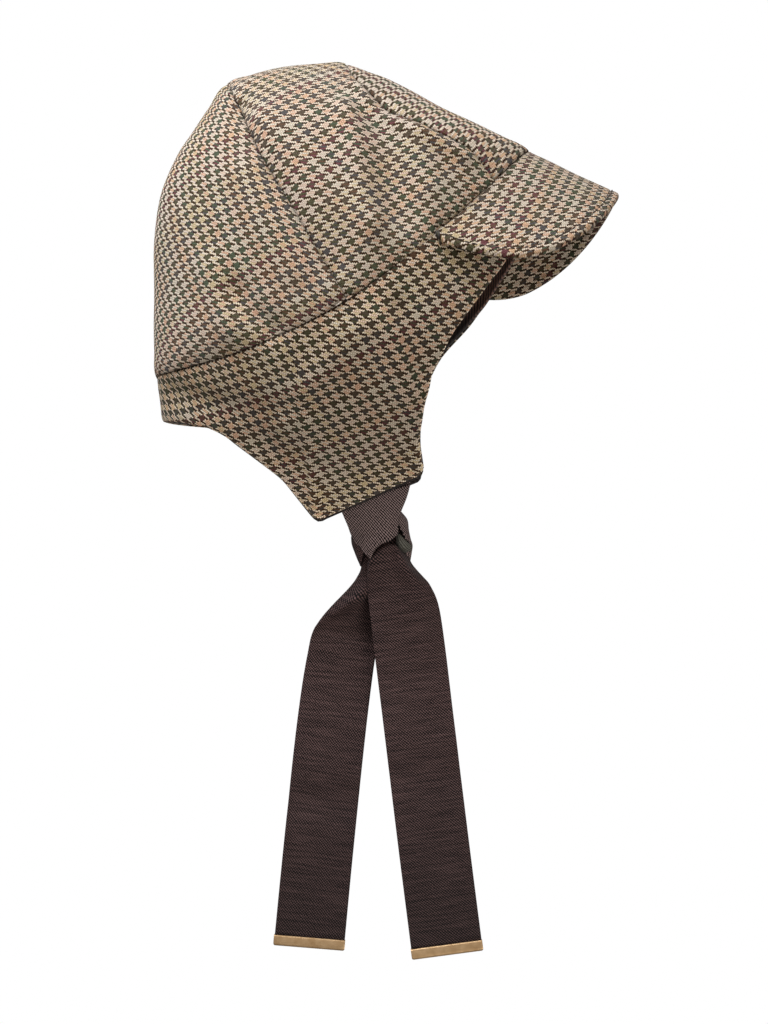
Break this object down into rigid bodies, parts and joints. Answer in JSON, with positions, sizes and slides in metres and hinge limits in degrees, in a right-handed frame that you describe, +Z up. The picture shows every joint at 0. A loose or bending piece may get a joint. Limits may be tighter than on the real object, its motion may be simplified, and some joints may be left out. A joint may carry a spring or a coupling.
{
  "type": "padded hat",
  "caption": "Houndstooth wool cap with a short visor, ear flaps, a ribbed lining and ribbon ties knotted under the chin, with brass end clips.",
  "frame": {"origin": "middle of the head's hollow, level with the ears, where a head holds the cap up", "axes": "+X to the front, where the visor points; +Y to the wearer's left; +Z up"},
  "size_m": [0.2338, 0.1614, 0.4451],
  "materials": {
    "houndstooth_wool": "thick napped wool twill in a small houndstooth of tan and dark yarns",
    "ribbed_lining": "dark brown lining cloth with fine diagonal ribs",
    "twill_ribbon": "matt dark brown twill ribbon with small paler flecks",
    "satin_brass": "satin, slightly aged brass"
  },
  "bodies": {
    "root": {"back_panel": "houndstooth_wool", "side_panel_right": "houndstooth_wool", "side_panel_left": "houndstooth_wool", "front_panel": "houndstooth_wool", "band_right": "houndstooth_wool", "band_left": "houndstooth_wool", "visor_top": "houndstooth_wool", "visor_under": "houndstooth_wool", "lining": "ribbed_lining", "tie_right": "twill_ribbon", "tie_left": "twill_ribbon", "tie_knot": "twill_ribbon", "tail_front": "twill_ribbon", "tail_back": "twill_ribbon", "clip_front": "satin_brass", "clip_back": "satin_brass"}
  },
  "joints": []
}
